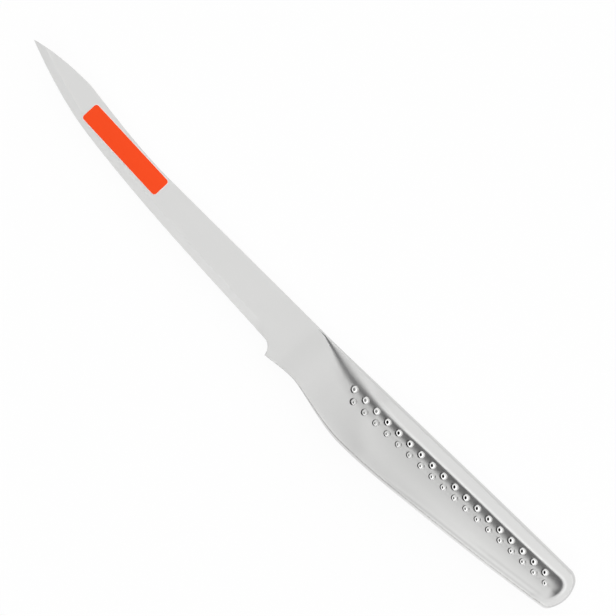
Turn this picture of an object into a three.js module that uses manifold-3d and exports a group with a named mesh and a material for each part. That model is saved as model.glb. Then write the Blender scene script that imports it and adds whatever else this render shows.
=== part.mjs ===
// A tomato knife of stainless steel, blade and hollow handle in one line, lying on its side.
// X runs along the knife from the tip (-X) to the butt (+X), Y points to the spine and Z is up.
// The origin is under the middle of the knife, on the surface that it lies on. Sizes are millimetres.
// While the pieces are drawn, x = 0 is the heel corner, y = 0 the spine above it and z = 0 the mid plane.

import * as THREE from 'three';
import { mergeVertices } from 'three/addons/utils/BufferGeometryUtils.js';
import Module from 'manifold-3d';

const { clamp, lerp, smoothstep } = THREE.MathUtils;

// Outline of the blade
const BLADE_LENGTH = 120;
const TIP_RISE = 0.6;
const TIP_BLUNT = 0.2;
const HUMP_RISE = 3.06;
const HUMP_FROM_TIP = 21;
const HUMP_SHOULDER = 7;
const HUMP_FALL = 0.7;
const SPINE_DIP_FROM_HEEL = 60;
const SPINE_DIP = 0.23;
const EDGE_CURVE_FROM_TIP = 32;
const EDGE_CURVE_DEPTH = 8.35;
const EDGE_DEPTH = 14.35;
const HEEL_DEPTH = 18.1;

// Outline of the neck and the handle
const HANDLE_LENGTH = 120.2;
const NECK_FROM_HEEL = 11.2;
const NECK_RISE = 1.04;
const FALL_FROM_HEEL = 16;
const FALL_DEPTH = 17.78;
const BELLY_FROM_HEEL = 36;
const BELLY_DEPTH = 21.22;
const TAPER_FROM_HEEL = 66;
const TAPER_DEPTH = 19.09;
const SPINE_BREAK = 13;
const SPINE_BEND = 6;
const BUTT_RISE = 2.16;
const BUTT_DEPTH = 11.97;
const BUTT_BULGE = 2.7;
const BUTT_LEAN = 0.36;
const BUTT_SPINE_CORNER = 2;
const BUTT_BELLY_CORNER = 0.8;

// Thicknesses
const SHEET = 1.2;
const EDGE_THICKNESS = 0.12;
const BEVEL = 2.6;
const BEVEL_RUNOUT = 10;
const HANDLE_THICKNESS = 13;
const WALL = 1.2;
const EDGE_ROUND = 1.1;

// The handle swells from the blade: rim by the spine, scoop floor between, land by the belly
const SWELL_START = 4;
const RIM_FULL = 38;
const LAND_FULL = 44;
const SCOOP_START = 14;
const SCOOP_START_DEPTH = 0.5;
const SCOOP_DEPTH = 1.95;
const SCOOP_CORNER = 3.2;
const RIM_START_WIDTH = 0.3;
const RIM_TURN = 17;
const RIM_TURN_WIDTH = 0.62;
const RIM_WIDE = 50;
const RIM_WIDTH = 4.2;
const RIM_TAPER = 86;
const RIM_BUTT_WIDTH = 3.3;
const WALL_START = 9.2;
const WALL_START_WIDTH = 0.5;
const WALL_TURN = 26;
const WALL_TURN_FOOT = 7.2;
const WALL_FULL = 60;
const WALL_WIDTH = 4.8;
const NECK_STEEPEST = 0.52;
const WALL_STEEPEST = 0.2;
const FLOOR_STEEPEST = 0.15;
const BUTT_RIM = 2.75;
const BELLY_LAND = 2;
const LAND_FALL = 0.8;

// Grip pips, two staggered rows that roughly follow the spine and draw together towards the butt
const PIP_PITCH = 4.82;
const PIP_START = 27.45;
const PIP_TO_BUTT = 9;
const PIP_ROOT = 0.5;
const PIP_ROW_MIDDLE = 66;
const UPPER_ROW_BELOW_SPINE = 6.2;
const UPPER_ROW_SAG = 0.45;
const UPPER_PIP_DIAMETER = 2.6;
const UPPER_PIP_HEIGHT = 0.8;
const LOWER_ROW_SHIFT = 2.4;
const LOWER_ROW_BELOW_SPINE = 9.2;
const LOWER_ROW_RISE = 0.6;
const LOWER_PIP_DIAMETER = 2.4;
const LOWER_PIP_HEIGHT = 0.4;

// Joints between the pieces
const MOUTH_FROM_HEEL = 24;
const BOLSTER_WELD_WIDTH = 0.8;
const SEAM_WELD_WIDTH = 0.8;
const SPIGOT_LENGTH = 8;
const SPIGOT_ROOT = 3;
const FIT = 0.3;

// Label on the blade
const LABEL_LENGTH = 33.4;
const LABEL_WIDTH = 6.5;
const LABEL_THICKNESS = 0.1;
const LABEL_CORNER = 1;
const LABEL_FROM_TIP = 44.24;
const LABEL_BELOW_SPINE = 3.5;
const LABEL_TURN = -2.27;

// Slopes of the curves at their knots
const TIP_SPINE_SLOPE = 0.26;
const HUMP_FALL_SLOPE = -0.122;
const HANDLE_SPINE_SLOPE = 0.026;
const BUTT_SPINE_SLOPE = 0.008;
const TIP_EDGE_SLOPE = -0.375;
const CURVE_EDGE_SLOPE = -0.135;
const HEEL_EDGE_SLOPE = -0.05;
const HEEL_BELLY_SLOPE = 0.1;
const NECK_SLOPE = -0.02;
const FALL_SLOPE = -0.213;
const TAPER_SLOPE = 0.104;
const BUTT_BELLY_SLOPE = 0.167;
const SCOOP_START_SLOPE = 0.05;
const RIM_START_SLOPE = 0.05;
const RIM_TURN_SLOPE = 0.1;
const RIM_BUTT_SLOPE = -0.05;
const WALL_START_SLOPE = 0.33;
const WALL_TURN_SLOPE = 0.15;
const UPPER_ROW_SLOPE = 0.02;
const LOWER_ROW_SLOPE = -0.015;

// Fineness of the facets
const OUTLINE_STEPS = 70;
const BLADE_STATIONS = 22;
const BLADE_CROWDING = 1.4;
const NOTCH_STATIONS = 4;
const NECK_STATIONS = 11;
const HANDLE_STATIONS = 24;
const SPIGOT_STATIONS = 4;
const LABEL_CORNER_STEPS = 4;
const PIP_SIDES = 8;
const PIP_RINGS = 2;
const BALL_POINTS = 12;
const BALL_RINGS = [0.5, 0.85, 1];
const BUTT_PASSES = 5;
const SAME_POINT = 1e-4;

// Values that follow from the sizes above
const HALF_SHEET = SHEET / 2;
const HALF_EDGE = EDGE_THICKNESS / 2;
const HALF_HANDLE = HANDLE_THICKNESS / 2;
const HALF_SEAM = SEAM_WELD_WIDTH / 2;
const TIP_X = -BLADE_LENGTH;
const NOTCH_RADIUS = HEEL_DEPTH - EDGE_DEPTH;
const SHOULDER_X = MOUTH_FROM_HEEL - BOLSTER_WELD_WIDTH;
const SPIGOT_END = MOUTH_FROM_HEEL + SPIGOT_LENGTH;
const CAVITY_INSET = WALL + FIT;

// Knots of the outline: place along X, height in Y and slope. A cubic joins each knot to the next.
const SPINE_KNOTS = [
  [TIP_X, TIP_RISE + TIP_BLUNT / 2, TIP_SPINE_SLOPE],
  [TIP_X + HUMP_FROM_TIP, HUMP_RISE, 0],
  [TIP_X + HUMP_FROM_TIP + HUMP_SHOULDER, HUMP_RISE - HUMP_FALL, HUMP_FALL_SLOPE],
  [-SPINE_DIP_FROM_HEEL, -SPINE_DIP, 0],
  [SPINE_BREAK - SPINE_BEND, 0, 0],
  [SPINE_BREAK + SPINE_BEND, SPINE_BEND * HANDLE_SPINE_SLOPE, HANDLE_SPINE_SLOPE],
  [HANDLE_LENGTH, BUTT_RISE, BUTT_SPINE_SLOPE],
];
const EDGE_KNOTS = [
  [TIP_X, TIP_RISE - TIP_BLUNT / 2, TIP_EDGE_SLOPE],
  [TIP_X + EDGE_CURVE_FROM_TIP, -EDGE_CURVE_DEPTH, CURVE_EDGE_SLOPE],
  [-NOTCH_RADIUS, -EDGE_DEPTH, HEEL_EDGE_SLOPE],
];
const BELLY_KNOTS = [
  [0, -HEEL_DEPTH, HEEL_BELLY_SLOPE],
  [NECK_FROM_HEEL, NECK_RISE - HEEL_DEPTH, NECK_SLOPE],
  [FALL_FROM_HEEL, -FALL_DEPTH, FALL_SLOPE],
  [BELLY_FROM_HEEL, -BELLY_DEPTH, 0],
  [TAPER_FROM_HEEL, -TAPER_DEPTH, TAPER_SLOPE],
  [HANDLE_LENGTH, -BUTT_DEPTH, BUTT_BELLY_SLOPE],
];

// Depth of the scoop below the rim
const SCOOP_KNOTS = [
  [SWELL_START, 0, 0],
  [SCOOP_START, SCOOP_START_DEPTH, SCOOP_START_SLOPE],
  [WALL_FULL, SCOOP_DEPTH, 0],
];

// Distances below the spine of the inner edge of the rim and of the foot of the scoop's wall
const RIM_KNOTS = [
  [WALL_START, RIM_START_WIDTH, RIM_START_SLOPE],
  [RIM_TURN, RIM_TURN_WIDTH, RIM_TURN_SLOPE],
  [RIM_WIDE, RIM_WIDTH, 0],
  [RIM_TAPER, RIM_WIDTH, 0],
  [HANDLE_LENGTH, RIM_BUTT_WIDTH, RIM_BUTT_SLOPE],
];
const WALL_KNOTS = [
  [WALL_START, RIM_START_WIDTH + WALL_START_WIDTH, WALL_START_SLOPE],
  [WALL_TURN, WALL_TURN_FOOT, WALL_TURN_SLOPE],
  [WALL_FULL, RIM_WIDTH + WALL_WIDTH, 0],
  [RIM_TAPER, RIM_WIDTH + WALL_WIDTH, 0],
  [HANDLE_LENGTH, RIM_BUTT_WIDTH + WALL_WIDTH, RIM_BUTT_SLOPE],
];

// Distances below the spine of the two rows of pips
const ROW_END = HANDLE_LENGTH - PIP_TO_BUTT;
const UPPER_ROW_KNOTS = [
  [PIP_START, UPPER_ROW_BELOW_SPINE, UPPER_ROW_SLOPE],
  [PIP_ROW_MIDDLE, UPPER_ROW_BELOW_SPINE + UPPER_ROW_SAG, 0],
  [ROW_END, UPPER_ROW_BELOW_SPINE, -UPPER_ROW_SLOPE],
];
const LOWER_ROW_KNOTS = [
  [PIP_START, LOWER_ROW_BELOW_SPINE, 0],
  [PIP_ROW_MIDDLE, LOWER_ROW_BELOW_SPINE, 0],
  [ROW_END, LOWER_ROW_BELOW_SPINE - LOWER_ROW_RISE, LOWER_ROW_SLOPE],
];

function knotCurve(knots, x) {
  let k = 0;
  while (k < knots.length - 2 && x > knots[k + 1][0]) {
    k += 1;
  }
  const [startX, startY, startSlope] = knots[k];
  const [endX, endY, endSlope] = knots[k + 1];
  const run = endX - startX;
  const u = clamp((x - startX) / run, 0, 1);
  const v = 1 - u;
  const places = startY * v * v * (1 + 2 * u) + endY * u * u * (3 - 2 * u);
  return places + run * u * v * (startSlope * v - endSlope * u);
}

function spineY(x) {
  return knotCurve(SPINE_KNOTS, x);
}

// Cutting edge, then the round notch at the heel, then the belly of the handle
function lowerY(x) {
  if (x < -NOTCH_RADIUS) {
    return knotCurve(EDGE_KNOTS, x);
  }
  if (x < 0) {
    return -HEEL_DEPTH + Math.sqrt(Math.max(0, NOTCH_RADIUS ** 2 - (x + NOTCH_RADIUS) ** 2));
  }
  return knotCurve(BELLY_KNOTS, x);
}

function depthAt(x) {
  return spineY(x) - lowerY(x);
}

// The butt is an arc between the two corners, with its crown a little below their middle
const BUTT_HALF_DEPTH = (BUTT_RISE + BUTT_DEPTH) / 2;
const CROWN_RADIUS = (BUTT_HALF_DEPTH ** 2 + BUTT_BULGE ** 2) / (2 * BUTT_BULGE);
const CROWN_X = HANDLE_LENGTH - CROWN_RADIUS;
const CROWN_Y = (BUTT_RISE - BUTT_DEPTH) / 2 - BUTT_LEAN;

// Distance along X from a point to the arc of the butt
function crownGap(x, y) {
  return CROWN_X + Math.sqrt(Math.max(0, CROWN_RADIUS ** 2 - (y - CROWN_Y) ** 2)) - x;
}

// Heights above the mid plane, each swelling from the blade's sheet
function swell(full, height, x) {
  return lerp(HALF_SHEET, height, smoothstep(x, SWELL_START, full));
}

function rimLevel(x) {
  return swell(RIM_FULL, HALF_HANDLE, x);
}

// The land falls away towards the butt
function landLevel(x) {
  return swell(LAND_FULL, HALF_HANDLE, x) - LAND_FALL * smoothstep(x, TAPER_FROM_HEEL, HANDLE_LENGTH);
}

function floorLevel(x) {
  return rimLevel(x) - knotCurve(SCOOP_KNOTS, x);
}

function rimWidth(x) {
  return knotCurve(RIM_KNOTS, x);
}

function wallFoot(x) {
  return Math.max(knotCurve(WALL_KNOTS, x), rimWidth(x) + WALL_START_WIDTH);
}

// A rise from 0 to 1 that starts and ends level and is steepest at the given share of the way
function bend(u, steepest) {
  if (u < steepest) {
    return (u * u) / steepest;
  }
  return 1 - (1 - u) ** 2 / (1 - steepest);
}

// The scoop's wall bends over slowly near the neck, and soon after its edge along the rest of the handle
function wallShare(u, x) {
  return bend(u, lerp(NECK_STEEPEST, WALL_STEEPEST, smoothstep(x, WALL_TURN, WALL_FULL)));
}

// Smaller of two distances, with a round corner where they meet
function roundedMin(a, b, radius) {
  const near = Math.max(0, 1 - Math.abs(a - b) / radius);
  return Math.min(a, b) - (near * near * radius) / 4;
}

// Lines along the knife, as distances below the spine, at the features of its cross-section.
// Where the blade narrows to its tip, each feature keeps to its share of the depth.
const ROUND_SHARES = [0, 30, 60, 90].map((angle) => 1 - Math.cos(THREE.MathUtils.degToRad(angle)));
const WALL_SHARES = [0, 0.25, 0.6, 1];
const FLOOR_SHARES = [1 / 3, 2 / 3, 1];
const MOST_ROUND = 0.12;
const MOST_RIM = 0.3;
const LEAST_WALL = 0.06;
const MOST_FOOT = 0.55;
const MOST_BAND = 0.4;
const PAST_ROUND = 1.2;

function sectionLines(x) {
  const depth = depthAt(x);
  const spineRound = Math.min((EDGE_ROUND * rimLevel(x)) / HALF_HANDLE, MOST_ROUND * depth);
  const bellyRound = Math.min((EDGE_ROUND * landLevel(x)) / HALF_HANDLE, MOST_ROUND * depth);
  const top = Math.min(Math.max(rimWidth(x), PAST_ROUND * spineRound), MOST_RIM * depth);
  const foot = clamp(wallFoot(x), top + LEAST_WALL * depth, MOST_FOOT * depth);
  const band = lerp(BEVEL, BELLY_LAND, smoothstep(x, -2 * NOTCH_RADIUS, 0));
  const land = depth - clamp(band, PAST_ROUND * bellyRound, MOST_BAND * depth);
  const spineLines = ROUND_SHARES.map((share) => share * spineRound);
  const wallLines = WALL_SHARES.map((share) => lerp(top, foot, share));
  const floorLines = FLOOR_SHARES.map((share) => lerp(foot, land, share));
  const bellyLines = ROUND_SHARES.map((share) => depth - share * bellyRound).reverse();
  return [...spineLines, ...wallLines, ...floorLines, ...bellyLines];
}

const LINE_COUNT = sectionLines(0).length;

// Distance below the spine of one section line, moved in from both sides of the outline by the inset
function lineDepth(x, line, inset) {
  const depth = depthAt(x);
  return inset + (sectionLines(x)[line] / depth) * (depth - 2 * inset);
}

// How far a round corner of the butt draws back a line at the given distance from the corner's side
function cornerDrop(side, radius) {
  const short = clamp(radius - side, 0, radius);
  return radius - Math.sqrt(radius ** 2 - short ** 2);
}

// Where a section line meets the butt
function buttX(line, inset) {
  let x = HANDLE_LENGTH;
  for (let pass = 0; pass < BUTT_PASSES; pass += 1) {
    const below = lineDepth(x, line, inset);
    const spineDrop = cornerDrop(below - inset, BUTT_SPINE_CORNER);
    const bellyDrop = cornerDrop(depthAt(x) - below - inset, BUTT_BELLY_CORNER);
    const y = spineY(x) - below;
    const reach = Math.sqrt(Math.max(0, (CROWN_RADIUS - inset) ** 2 - (y - CROWN_Y) ** 2));
    x = CROWN_X + reach - Math.max(spineDrop, bellyDrop);
  }
  return x;
}

// The whole outline as a chain of points, for the rounding of the edges
function outlinePoints() {
  const points = [];
  for (let k = 0; k <= OUTLINE_STEPS; k += 1) {
    const x = lerp(TIP_X, buttX(0, 0), k / OUTLINE_STEPS);
    points.push(new THREE.Vector2(x, spineY(x)));
  }
  for (let line = 1; line < LINE_COUNT; line += 1) {
    const x = buttX(line, 0);
    points.push(new THREE.Vector2(x, spineY(x) - lineDepth(x, line, 0)));
  }
  const bellyEnd = buttX(LINE_COUNT - 1, 0);
  for (let k = 1; k <= OUTLINE_STEPS; k += 1) {
    const x = lerp(bellyEnd, TIP_X, k / OUTLINE_STEPS);
    points.push(new THREE.Vector2(x, lowerY(x)));
  }
  return points;
}

const OUTLINE = outlinePoints();

function outlineDistance(x, y) {
  let nearest = Infinity;
  for (let k = 1; k < OUTLINE.length; k += 1) {
    const start = OUTLINE[k - 1];
    const end = OUTLINE[k];
    const runX = end.x - start.x;
    const runY = end.y - start.y;
    const along = ((x - start.x) * runX + (y - start.y) * runY) / (runX * runX + runY * runY);
    const u = clamp(along, 0, 1);
    nearest = Math.min(nearest, Math.hypot(x - start.x - u * runX, y - start.y - u * runY));
  }
  const outside = y > spineY(x) || y < lowerY(x) || crownGap(x, y) < 0;
  return outside ? 0 : nearest;
}

// Height of the knife's outer face above the mid plane
function faceHeight(x, y) {
  const depth = depthAt(x);
  const below = spineY(x) - y;
  const top = rimWidth(x);
  const foot = wallFoot(x);
  const rise = bend(clamp((below - foot) / (depth - BELLY_LAND - foot), 0, 1), FLOOR_STEEPEST);
  const floor = lerp(floorLevel(x), landLevel(x), rise);
  const inside = roundedMin(below - top, crownGap(x, y) - BUTT_RIM, SCOOP_CORNER);
  const wall = wallShare(clamp(inside / (foot - top), 0, 1), x);
  const scooped = lerp(rimLevel(x), floor, wall);
  const ground = clamp((depth - below) / BEVEL, 0, 1);
  const bevel = lerp(ground, 1, smoothstep(x, -NOTCH_RADIUS - BEVEL_RUNOUT, -NOTCH_RADIUS));
  const level = lerp(HALF_EDGE, scooped, bevel);
  const side = Math.min(HALF_SEAM, level);
  const round = (EDGE_ROUND * level) / HALF_HANDLE;
  const u = clamp(outlineDistance(x, y) / round, 0, 1);
  return lerp(side, level, Math.sqrt(1 - (1 - u) ** 2));
}

// Height of a face that lies one thickness inside the outer face: no ball of that radius breaks through
function innerHeight(x, y, thickness) {
  let lowest = faceHeight(x, y) - thickness;
  for (const share of BALL_RINGS) {
    const reach = thickness * share;
    const drop = Math.sqrt(thickness ** 2 - reach ** 2);
    for (let k = 0; k < BALL_POINTS; k += 1) {
      const angle = (2 * Math.PI * k) / BALL_POINTS;
      const height = faceHeight(x + reach * Math.cos(angle), y + reach * Math.sin(angle));
      lowest = Math.min(lowest, height - drop);
    }
  }
  return Math.max(lowest, HALF_SEAM + HALF_EDGE);
}

// A point of a face on a section line: on the outer face without an inset, else on the face inside it
function facePoint(x, line, inset) {
  const y = spineY(x) - lineDepth(x, line, inset);
  const onOutline = line === 0 || line === LINE_COUNT - 1;
  if (inset > 0) {
    return new THREE.Vector3(x, y, onOutline ? HALF_SEAM : innerHeight(x, y, inset));
  }
  return new THREE.Vector3(x, y, faceHeight(x, y));
}

// Rows of points across the face, one row for each station along the knife
function straightGrid(stations, inset) {
  return stations.map((x) => {
    return Array.from({ length: LINE_COUNT }, (_, line) => facePoint(x, line, inset));
  });
}

// The same from one place to the butt, with rows that bend until the last one follows the butt
function handleGrid(startX, inset) {
  const rows = [];
  for (let k = 0; k <= HANDLE_STATIONS; k += 1) {
    const along = Math.sin((k / HANDLE_STATIONS) * (Math.PI / 2));
    const row = [];
    for (let line = 0; line < LINE_COUNT; line += 1) {
      const x = lerp(startX, buttX(line, inset), along);
      const point = facePoint(x, line, inset);
      if (k === HANDLE_STATIONS) {
        point.z = HALF_SEAM;
      }
      row.push(point);
    }
    rows.push(row);
  }
  return rows;
}

function mirrored(rows) {
  return rows.map((row) => row.map((point) => new THREE.Vector3(point.x, point.y, -point.z)));
}

function flattened(rows, height) {
  return rows.map((row) => row.map((point) => new THREE.Vector3(point.x, point.y, height)));
}

// Points round the border of a grid: spine, butt end, belly, front end
function borderOf(rows) {
  const last = rows.length - 1;
  const end = LINE_COUNT - 1;
  const border = [];
  for (let k = 0; k < last; k += 1) border.push(rows[k][0]);
  for (let line = 0; line < end; line += 1) border.push(rows[last][line]);
  for (let k = last; k > 0; k -= 1) border.push(rows[k][end]);
  for (let line = end; line > 0; line -= 1) border.push(rows[0][line]);
  return border;
}

// A closed geometry from triangles of points, without the triangles that have shrunk to a line
function closedGeometry(triangles) {
  const geometry = new THREE.BufferGeometry().setFromPoints(triangles.flat());
  const merged = mergeVertices(geometry, SAME_POINT);
  const index = merged.index.array;
  const kept = [];
  for (let k = 0; k < index.length; k += 3) {
    const [a, b, c] = [index[k], index[k + 1], index[k + 2]];
    if (a !== b && b !== c && c !== a) {
      kept.push(a, b, c);
    }
  }
  merged.setIndex(kept);
  return merged;
}

// The solid between two grids with the same rows, one above the other
function solidBetween(upper, lower) {
  const triangles = [];
  for (let k = 0; k < upper.length - 1; k += 1) {
    for (let line = 0; line < LINE_COUNT - 1; line += 1) {
      const [a, b] = [upper[k][line], upper[k + 1][line]];
      const [d, c] = [upper[k][line + 1], upper[k + 1][line + 1]];
      triangles.push([a, c, b], [a, d, c]);
      const [e, f] = [lower[k][line], lower[k + 1][line]];
      const [h, g] = [lower[k][line + 1], lower[k + 1][line + 1]];
      triangles.push([e, f, g], [e, g, h]);
    }
  }
  const above = borderOf(upper);
  const under = borderOf(lower);
  for (let k = 0; k < above.length; k += 1) {
    const next = (k + 1) % above.length;
    triangles.push([above[k], above[next], under[next]], [above[k], under[next], under[k]]);
  }
  return closedGeometry(triangles);
}

// Joining of closed geometries
const wasm = await Module();
wasm.setup();

function toSolid(geometry) {
  const bare = geometry.clone();
  bare.deleteAttribute('normal');
  bare.deleteAttribute('uv');
  const merged = mergeVertices(bare, SAME_POINT);
  const mesh = new wasm.Mesh({
    numProp: 3,
    vertProperties: new Float32Array(merged.attributes.position.array),
    triVerts: new Uint32Array(merged.index.array),
  });
  return new wasm.Manifold(mesh);
}

function joined(geometries) {
  const solid = geometries.map(toSolid).reduce((whole, piece) => whole.add(piece));
  const mesh = solid.getMesh();
  const geometry = new THREE.BufferGeometry();
  geometry.setAttribute('position', new THREE.BufferAttribute(new Float32Array(mesh.vertProperties), 3));
  geometry.setIndex(Array.from(mesh.triVerts));
  return geometry;
}

function spaced(start, end, count) {
  return Array.from({ length: count + 1 }, (_, k) => lerp(start, end, k / count));
}

// Blade, neck and spigot in one forging
function bladeGeometry() {
  const run = -NOTCH_RADIUS - TIP_X;
  const stations = spaced(0, 1, BLADE_STATIONS).map((u) => TIP_X + run * u ** BLADE_CROWDING);
  for (let k = 1; k < NOTCH_STATIONS; k += 1) {
    stations.push(-NOTCH_RADIUS + NOTCH_RADIUS * Math.sin(((k / NOTCH_STATIONS) * Math.PI) / 2));
  }
  stations.push(...spaced(0, SHOULDER_X, NECK_STATIONS));
  const face = straightGrid(stations, 0);
  const spigot = straightGrid(spaced(SHOULDER_X - SPIGOT_ROOT, SPIGOT_END, SPIGOT_STATIONS), CAVITY_INSET);
  return joined([solidBetween(face, mirrored(face)), solidBetween(spigot, mirrored(spigot))]);
}

// A pip is a low dome, a cap of a ball, that stands upright with its root in the handle's wall
function pipGeometry(diameter, height) {
  const radius = diameter / 2;
  const ball = (radius ** 2 + height ** 2) / (2 * height);
  const reach = Math.asin(radius / ball);
  const profile = [new THREE.Vector2(0, -PIP_ROOT), new THREE.Vector2(radius, -PIP_ROOT)];
  for (let k = 0; k < PIP_RINGS; k += 1) {
    const angle = reach * (1 - k / PIP_RINGS);
    profile.push(new THREE.Vector2(ball * Math.sin(angle), height - ball * (1 - Math.cos(angle))));
  }
  profile.push(new THREE.Vector2(0, height));
  return new THREE.LatheGeometry(profile, PIP_SIDES).rotateX(Math.PI / 2);
}

function pipRow(startX, rowKnots, diameter, height) {
  const row = [];
  for (let x = startX; x < ROW_END + PIP_PITCH / 4; x += PIP_PITCH) {
    const y = spineY(x) - knotCurve(rowKnots, x);
    row.push(pipGeometry(diameter, height).translate(x, y, faceHeight(x, y)));
  }
  return row;
}

// One pressed half of the handle, hollow inside and open along the seam
function shellGeometry() {
  const shell = solidBetween(handleGrid(MOUTH_FROM_HEEL, 0), handleGrid(MOUTH_FROM_HEEL, WALL));
  const lowerStart = PIP_START + LOWER_ROW_SHIFT;
  const upper = pipRow(PIP_START, UPPER_ROW_KNOTS, UPPER_PIP_DIAMETER, UPPER_PIP_HEIGHT);
  const lower = pipRow(lowerStart, LOWER_ROW_KNOTS, LOWER_PIP_DIAMETER, LOWER_PIP_HEIGHT);
  return joined([shell, ...upper, ...lower]);
}

function mirroredGeometry(geometry) {
  const copy = geometry.clone().scale(1, 1, -1);
  const index = Array.from(copy.index.array);
  for (let k = 0; k < index.length; k += 3) {
    [index[k], index[k + 1]] = [index[k + 1], index[k]];
  }
  copy.setIndex(index);
  return copy;
}

// The weld between the two halves, as wide as the wall is thick
function seamWeldGeometry() {
  const along = (inset) => {
    const rows = handleGrid(MOUTH_FROM_HEEL, inset);
    return borderOf(rows).slice(0, 2 * HANDLE_STATIONS + LINE_COUNT);
  };
  const outer = along(0);
  const inner = along(WALL).reverse();
  const shape = new THREE.Shape([...outer, ...inner].map((point) => new THREE.Vector2(point.x, point.y)));
  const weld = new THREE.ExtrudeGeometry(shape, { depth: SEAM_WELD_WIDTH, bevelEnabled: false });
  return weld.translate(0, 0, -HALF_SEAM);
}

// The weld between the neck and the mouth of the handle, a ring as thick as the wall
function bolsterWeldGeometry() {
  const ring = (x, inset) => {
    const [face] = straightGrid([x], inset);
    const [back] = mirrored([face]);
    return [...face, ...back.reverse()];
  };
  const loops = [
    ring(SHOULDER_X, 0),
    ring(MOUTH_FROM_HEEL, 0),
    ring(MOUTH_FROM_HEEL, WALL),
    ring(SHOULDER_X, WALL),
  ];
  const triangles = [];
  loops.forEach((loop, k) => {
    const other = loops[(k + 1) % loops.length];
    loop.forEach((point, m) => {
      const next = (m + 1) % loop.length;
      triangles.push([point, other[next], other[m]], [point, loop[next], other[next]]);
    });
  });
  return closedGeometry(triangles);
}

// Sand in the lower half of the handle, level with its rim, behind the spigot
function sandGeometry() {
  const rows = handleGrid(SPIGOT_END + FIT, CAVITY_INSET);
  for (const point of rows[0]) {
    point.z = HALF_SEAM;
  }
  return solidBetween(flattened(rows, -HALF_SEAM), mirrored(rows));
}

// A film with round corners, stuck on the flat of the blade
function labelGeometry() {
  const [halfLength, halfWidth, r] = [LABEL_LENGTH / 2, LABEL_WIDTH / 2, LABEL_CORNER];
  const shape = new THREE.Shape();
  shape.absarc(halfLength - r, -halfWidth + r, r, -Math.PI / 2, 0);
  shape.absarc(halfLength - r, halfWidth - r, r, 0, Math.PI / 2);
  shape.absarc(-halfLength + r, halfWidth - r, r, Math.PI / 2, Math.PI);
  shape.absarc(-halfLength + r, -halfWidth + r, r, Math.PI, 1.5 * Math.PI);
  const options = { depth: LABEL_THICKNESS, bevelEnabled: false, curveSegments: LABEL_CORNER_STEPS };
  return new THREE.ExtrudeGeometry(shape, options);
}

function finish(color, roughness, metalness) {
  return new THREE.MeshStandardMaterial({ color, roughness, metalness, flatShading: true });
}

function piece(name, geometry, material) {
  const mesh = new THREE.Mesh(geometry, material);
  mesh.name = name;
  return mesh;
}

const shell = shellGeometry();
const label = piece('label_film', labelGeometry(), finish('#f9491a', 0.45, 0));
label.position.set(TIP_X + LABEL_FROM_TIP, -LABEL_BELOW_SPINE, HALF_SHEET);
label.rotation.z = THREE.MathUtils.degToRad(LABEL_TURN);

const knife = new THREE.Group();
knife.name = 'tomato_knife';
knife.add(
  piece('blade', bladeGeometry(), finish('#d8d8d6', 0.35, 1)),
  piece('front_shell', shell, finish('#d2d2d0', 0.4, 1)),
  piece('back_shell', mirroredGeometry(shell), finish('#d2d2d0', 0.4, 1)),
  piece('seam_weld', seamWeldGeometry(), finish('#cfcfcd', 0.45, 1)),
  piece('bolster_weld', bolsterWeldGeometry(), finish('#cfcfcd', 0.45, 1)),
  piece('balance_sand', sandGeometry(), finish('#c4ad86', 0.95, 0)),
  label,
);
const midX = (HANDLE_LENGTH - BLADE_LENGTH) / 2;
const midY = (HUMP_RISE - BELLY_DEPTH) / 2;
knife.position.set(-midX, -midY, HALF_HANDLE);

export default knife;
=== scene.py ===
# %% [markdown]
# # A steel tomato knife
# The knife is steel from tip to butt: a thin bevelled blade that flows into a hollow handle with a long
# scoop and two rows of polished grip pips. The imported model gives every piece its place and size. This
# script keeps that frame and makes the fine surfaces, the finishes, the light and the camera around it.

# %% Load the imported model
import math

import bpy
import numpy as np
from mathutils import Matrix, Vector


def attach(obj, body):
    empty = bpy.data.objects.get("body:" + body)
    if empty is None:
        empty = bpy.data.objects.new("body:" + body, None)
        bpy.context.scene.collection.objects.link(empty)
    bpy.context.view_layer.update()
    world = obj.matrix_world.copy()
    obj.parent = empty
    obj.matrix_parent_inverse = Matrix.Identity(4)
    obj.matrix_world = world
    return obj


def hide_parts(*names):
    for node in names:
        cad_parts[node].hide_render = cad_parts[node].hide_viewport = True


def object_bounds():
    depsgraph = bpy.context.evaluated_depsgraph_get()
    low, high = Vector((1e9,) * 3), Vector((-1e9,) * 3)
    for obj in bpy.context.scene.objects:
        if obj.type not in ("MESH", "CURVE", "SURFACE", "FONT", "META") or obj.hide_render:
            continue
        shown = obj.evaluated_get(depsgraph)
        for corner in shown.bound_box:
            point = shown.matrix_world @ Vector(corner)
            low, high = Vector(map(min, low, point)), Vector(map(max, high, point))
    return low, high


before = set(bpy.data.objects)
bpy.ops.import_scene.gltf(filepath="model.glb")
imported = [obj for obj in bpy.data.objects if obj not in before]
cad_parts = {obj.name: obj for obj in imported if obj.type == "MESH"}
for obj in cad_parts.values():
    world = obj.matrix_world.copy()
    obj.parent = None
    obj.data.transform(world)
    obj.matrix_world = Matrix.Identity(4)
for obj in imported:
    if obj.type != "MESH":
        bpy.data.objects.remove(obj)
cad_low, cad_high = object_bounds()
MM = 0.001
print("Nodes:", sorted(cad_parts))
print("Box in mm:", [round((high - low) / MM, 2) for low, high in zip(cad_low, cad_high)])

# %% [markdown]
# ## Camera
# The knife lies on its side and is seen from straight above through a long lens, turned so that it crosses
# the picture from corner to corner. A lens close to the knife would make the thick handle look larger than
# the blade, so the camera hangs high and the lens is long. The frame is as wide as the real width that the
# picture covers.

# %% Place the camera
FRAME_WIDTH = 192.0 * MM
CAMERA_HEIGHT = 1.2
CAMERA_AIM = (-0.75 * MM, 10.91 * MM)
CAMERA_TURN = math.radians(45.0)
SENSOR_WIDTH = 36.0
knife_middle = (cad_low.z + cad_high.z) / 2

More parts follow.
